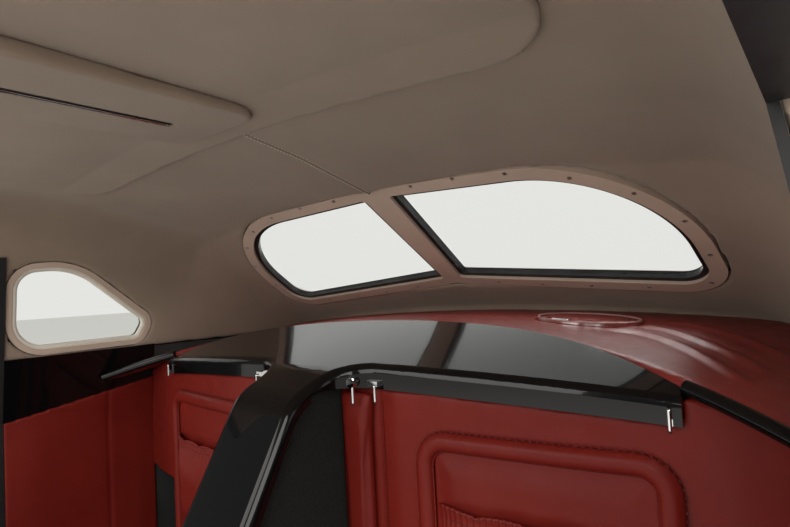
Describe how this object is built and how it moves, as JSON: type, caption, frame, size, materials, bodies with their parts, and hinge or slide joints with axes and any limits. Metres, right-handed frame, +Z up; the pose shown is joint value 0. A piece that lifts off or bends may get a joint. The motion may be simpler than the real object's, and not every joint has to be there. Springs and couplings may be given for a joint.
{
  "type": "hot rod coupe rear cab section",
  "caption": "Rear cab section of a hot rod coupe: lined roof, split rear window, quarter windows, shelf with a hinged round lid, gloss hood and spine, padded bulkhead.",
  "frame": {"origin": "middle of the section's box on the plane it stands on", "axes": "+X to the car's left side, +Y to the rear, +Z up"},
  "size_m": [1.324, 0.966, 0.8751],
  "materials": {
    "body_gloss": "gloss clearcoat",
    "floor_paint": "satin",
    "headlining": "matt cloth",
    "lamp_lens": "gloss",
    "frame_paint": "satin",
    "red_leather": "satin grain",
    "chrome_trim": "polished",
    "gloss_black": "gloss clearcoat",
    "carpet": "cut pile",
    "dark_board": "matt",
    "rubber_black": "satin",
    "clear_glass": "clear"
  },
  "bodies": {
    "cab": {"roof_skin": "body_gloss", "body_shell": "body_gloss", "floor_pan": "floor_paint", "headliner": "headlining", "headliner_panel": "headlining", "roof_console": "headlining", "console_vent": "lamp_lens", "window_frame": "frame_paint", "parcel_shelf": "red_leather", "lid_ring": "chrome_trim", "hinge_pin": "chrome_trim", "shelf_hood": "gloss_black", "spine_cap": "gloss_black", "spine_core": "carpet", "bulkhead": "red_leather", "side_lining": "dark_board", "rear_gasket_left": "rubber_black", "rear_gasket_right": "rubber_black", "rear_glass_left": "clear_glass", "rear_glass_right": "clear_glass", "quarter_frame_left": "frame_paint", "quarter_frame_right": "frame_paint", "quarter_gasket_left": "rubber_black", "quarter_gasket_right": "rubber_black", "quarter_glass_left": "clear_glass", "quarter_glass_right": "clear_glass", "side_trim_left": "red_leather", "side_trim_right": "red_leather", "side_panel_left": "gloss_black", "side_panel_right": "gloss_black", "door_jamb_left": "rubber_black", "door_jamb_right": "rubber_black", "wing_trim_left": "gloss_black", "wing_trim_right": "gloss_black", "rail_collar_left": "chrome_trim", "rail_collar_right": "chrome_trim", "rail_knob_left": "chrome_trim", "rail_knob_right": "chrome_trim", "rail_clip_left": "chrome_trim", "rail_clip_right": "chrome_trim", "bolster_left": "red_leather", "bolster_right": "red_leather", "pad_roll_left": "red_leather", "pad_roll_right": "red_leather", "map_pocket_left": "red_leather", "map_pocket_right": "red_leather"},
    "lid": {"shelf_lid": "red_leather"}
  },
  "joints": [
    {"name": "lid_hinge", "type": "hinge", "parent": "cab", "child": "lid", "pos_m": [0.29677, 0.385, 0.54851], "axis": [-0.997, 0, 0.0773], "range_deg": [0, 55]}
  ]
}
